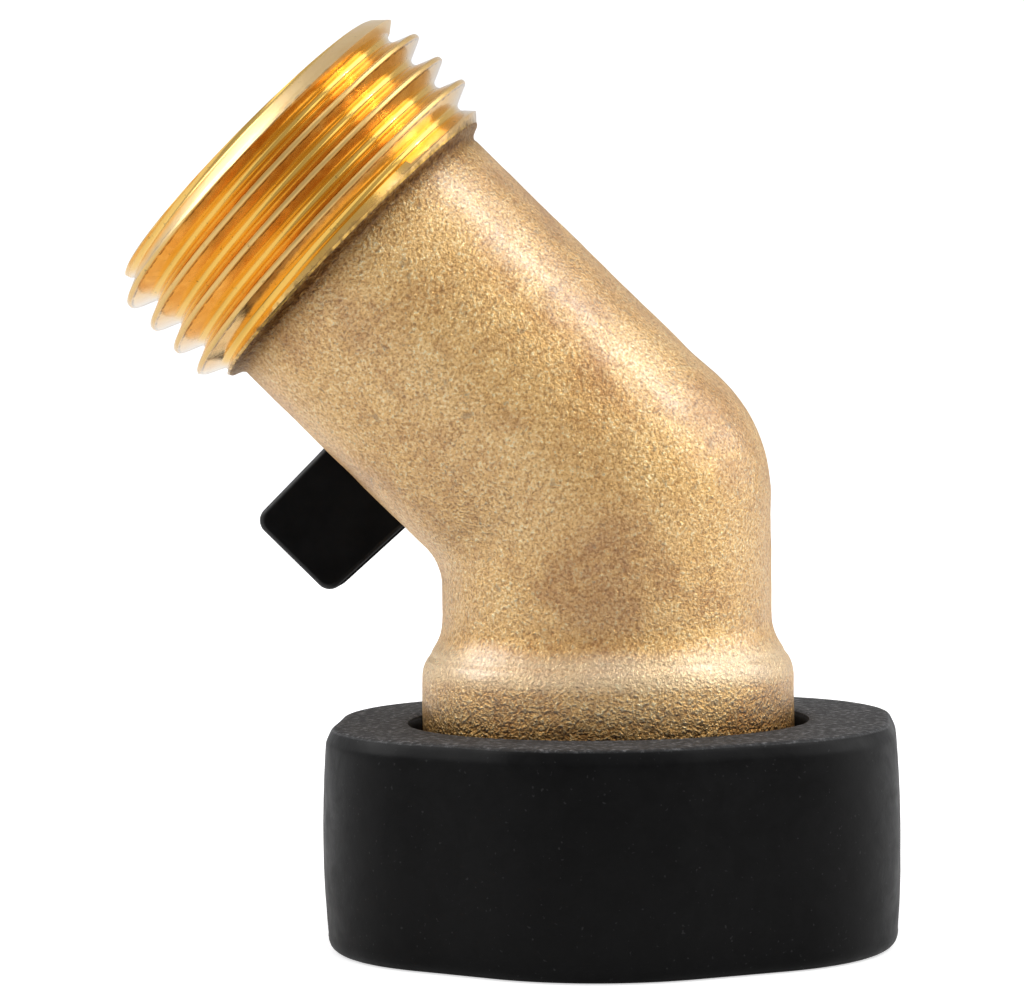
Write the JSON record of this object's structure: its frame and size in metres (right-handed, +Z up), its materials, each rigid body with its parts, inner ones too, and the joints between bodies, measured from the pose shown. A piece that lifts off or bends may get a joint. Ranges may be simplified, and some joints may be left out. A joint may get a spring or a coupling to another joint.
{
  "type": "water pressure regulator",
  "caption": "45 degree brass hose elbow that limits water pressure with a sprung piston in its inlet leg, with a gripped swivel nut and a lever-operated shut-off ball valve.",
  "frame": {"origin": "centre of the footprint's bounding box on the standing plane, 6.3 mm to -X of the swivel nut's axis", "axes": "+Z up the inlet leg, -X the way the outlet arm leans, +Y towards the shut-off lever"},
  "size_m": [0.0522, 0.0414, 0.0628],
  "materials": {
    "cast_brass": "sand-cast brass, fine sparkling grain",
    "turned_brass": "bright machined brass",
    "black_grip_rubber": "matt black rubber, lightly grained",
    "stainless_steel": "bright stainless steel",
    "washer_rubber": "soft black rubber",
    "seal_rubber": "smooth black nitrile",
    "grey_acetal": "grey acetal",
    "chromed_ball": "polished chrome",
    "white_seat": "white low-friction plastic",
    "black_plastic": "moulded black plastic, satin"
  },
  "bodies": {
    "housing": {"elbow_body": "cast_brass", "swivel_clip": "stainless_steel", "seat_plug": "turned_brass", "seat_disc": "seal_rubber", "spring_guide": "grey_acetal", "guide_o_ring": "seal_rubber", "piston_stem_o_ring": "seal_rubber", "regulator_spring": "stainless_steel", "ball_seat_inner": "white_seat", "ball_seat_outer": "white_seat", "seat_retainer": "turned_brass", "retainer_o_ring": "seal_rubber"},
    "swivel": {"swivel_nut": "turned_brass", "nut_grip": "black_grip_rubber", "hose_washer": "washer_rubber", "inlet_screen": "stainless_steel"},
    "valve": {"lever_handle": "black_plastic", "lever_washer": "stainless_steel", "lever_screw": "stainless_steel", "valve_stem": "turned_brass", "stem_washer": "white_seat", "stem_o_ring_lower": "seal_rubber", "stem_o_ring_upper": "seal_rubber", "ball": "chromed_ball"},
    "piston": {"regulator_piston": "turned_brass", "piston_head_o_ring": "seal_rubber"}
  },
  "joints": [
    {"name": "nut_swivel", "type": "hinge", "parent": "housing", "child": "swivel", "pos_m": [0.00633, 0, 0], "axis": [0, 0, 1], "continuous": true},
    {"name": "lever_turn", "type": "hinge", "parent": "housing", "child": "valve", "pos_m": [-0.00301, 0, 0.03963], "axis": [0, -1, 0], "range_deg": [0, 90]},
    {"name": "piston_slide", "type": "slide", "parent": "housing", "child": "piston", "axis": [0, 0, -1], "range_m": [0, 0.00175], "stiffness_N_per_m": 3000, "springref_m": -0.002, "deforming": ["regulator_spring"]}
  ]
}
